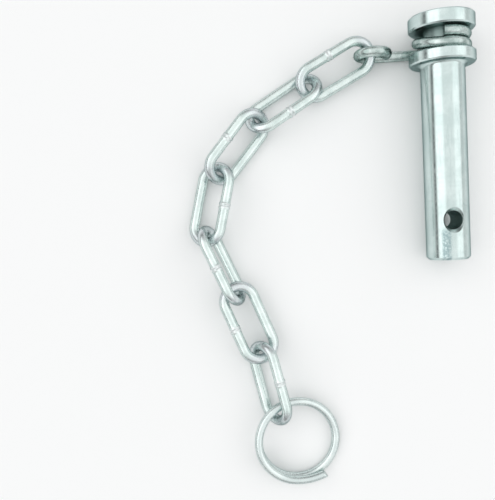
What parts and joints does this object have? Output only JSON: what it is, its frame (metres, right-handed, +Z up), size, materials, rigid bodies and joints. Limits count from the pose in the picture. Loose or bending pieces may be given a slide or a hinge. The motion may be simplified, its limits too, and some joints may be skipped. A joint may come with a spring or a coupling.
{
  "type": "hitch pin",
  "caption": "Grooved hitch pin with a cross hole, tethered by a coiled neck wire and welded chain to a split ring.",
  "frame": {"origin": "middle of the whole model's footprint, on the floor that it lies on", "axes": "+Z up from the floor, +Y along the longest extent towards the pin's head, +X from the chain towards the pin"},
  "size_m": [0.1261, 0.2089, 0.0294],
  "materials": {
    "pin_zinc": "bright zinc plate on turned steel",
    "wire_zinc": "bright zinc plate on drawn wire",
    "ring_zinc": "bright zinc plate on spring wire"
  },
  "bodies": {
    "pin": {"hitch_pin": "pin_zinc"},
    "neck_wire": {"neck_wire": "wire_zinc"},
    "link_1": {"chain_link_1": "wire_zinc"},
    "link_2": {"chain_link_2": "wire_zinc"},
    "link_3": {"chain_link_3": "wire_zinc"},
    "link_4": {"chain_link_4": "wire_zinc"},
    "link_5": {"chain_link_5": "wire_zinc"},
    "link_6": {"chain_link_6": "wire_zinc"},
    "link_7": {"chain_link_7": "wire_zinc"},
    "ring": {"split_ring": "ring_zinc"}
  },
  "joints": [
    {"name": "neck_wire_turn", "type": "hinge", "parent": "pin", "child": "neck_wire", "pos_m": [0.0487, 0.09079, 0.01456], "axis": [-0.0505, 0.9972, 0.0552], "continuous": true},
    {"name": "link_1_swing", "type": "hinge", "parent": "neck_wire", "child": "link_1", "pos_m": [0.01328, 0.08933, 0.00855], "axis": [0.0028, -0.0551, 0.9985], "range_deg": [-65, 15]},
    {"name": "link_2_swing", "type": "hinge", "parent": "link_1", "child": "link_2", "pos_m": [-0.01201, 0.07443, 0.00683], "axis": [0.4901, -0.7984, -0.3497], "range_deg": [-5, 20]},
    {"name": "link_3_swing", "type": "hinge", "parent": "link_2", "child": "link_3", "pos_m": [-0.03478, 0.05863, 0.0064], "axis": [0.4495, -0.6627, 0.599], "range_deg": [-90, 35]},
    {"name": "link_4_swing", "type": "hinge", "parent": "link_3", "child": "link_4", "pos_m": [-0.05169, 0.03457, 0.00753], "axis": [0.6216, -0.4664, -0.6293], "range_deg": [-5, 90]},
    {"name": "link_5_swing", "type": "hinge", "parent": "link_4", "child": "link_5", "pos_m": [-0.05592, 0.00551, 0.00777], "axis": [0.8556, -0.1257, 0.5022], "range_deg": [-35, 65]},
    {"name": "link_6_swing", "type": "hinge", "parent": "link_5", "child": "link_6", "pos_m": [-0.04044, -0.02055, 0.00872], "axis": [0.3136, 0.1523, -0.9373], "range_deg": [-8, 10]},
    {"name": "link_7_swing", "type": "hinge", "parent": "link_6", "child": "link_7", "pos_m": [-0.02875, -0.04651, 0.00707], "axis": [0.8865, 0.4101, -0.2145], "range_deg": [-90, 10]},
    {"name": "ring_swing", "type": "hinge", "parent": "link_7", "child": "ring", "pos_m": [-0.02189, -0.07468, 0.00768], "axis": [0.5981, 0.1626, 0.7848], "range_deg": [-30, 15]}
  ]
}
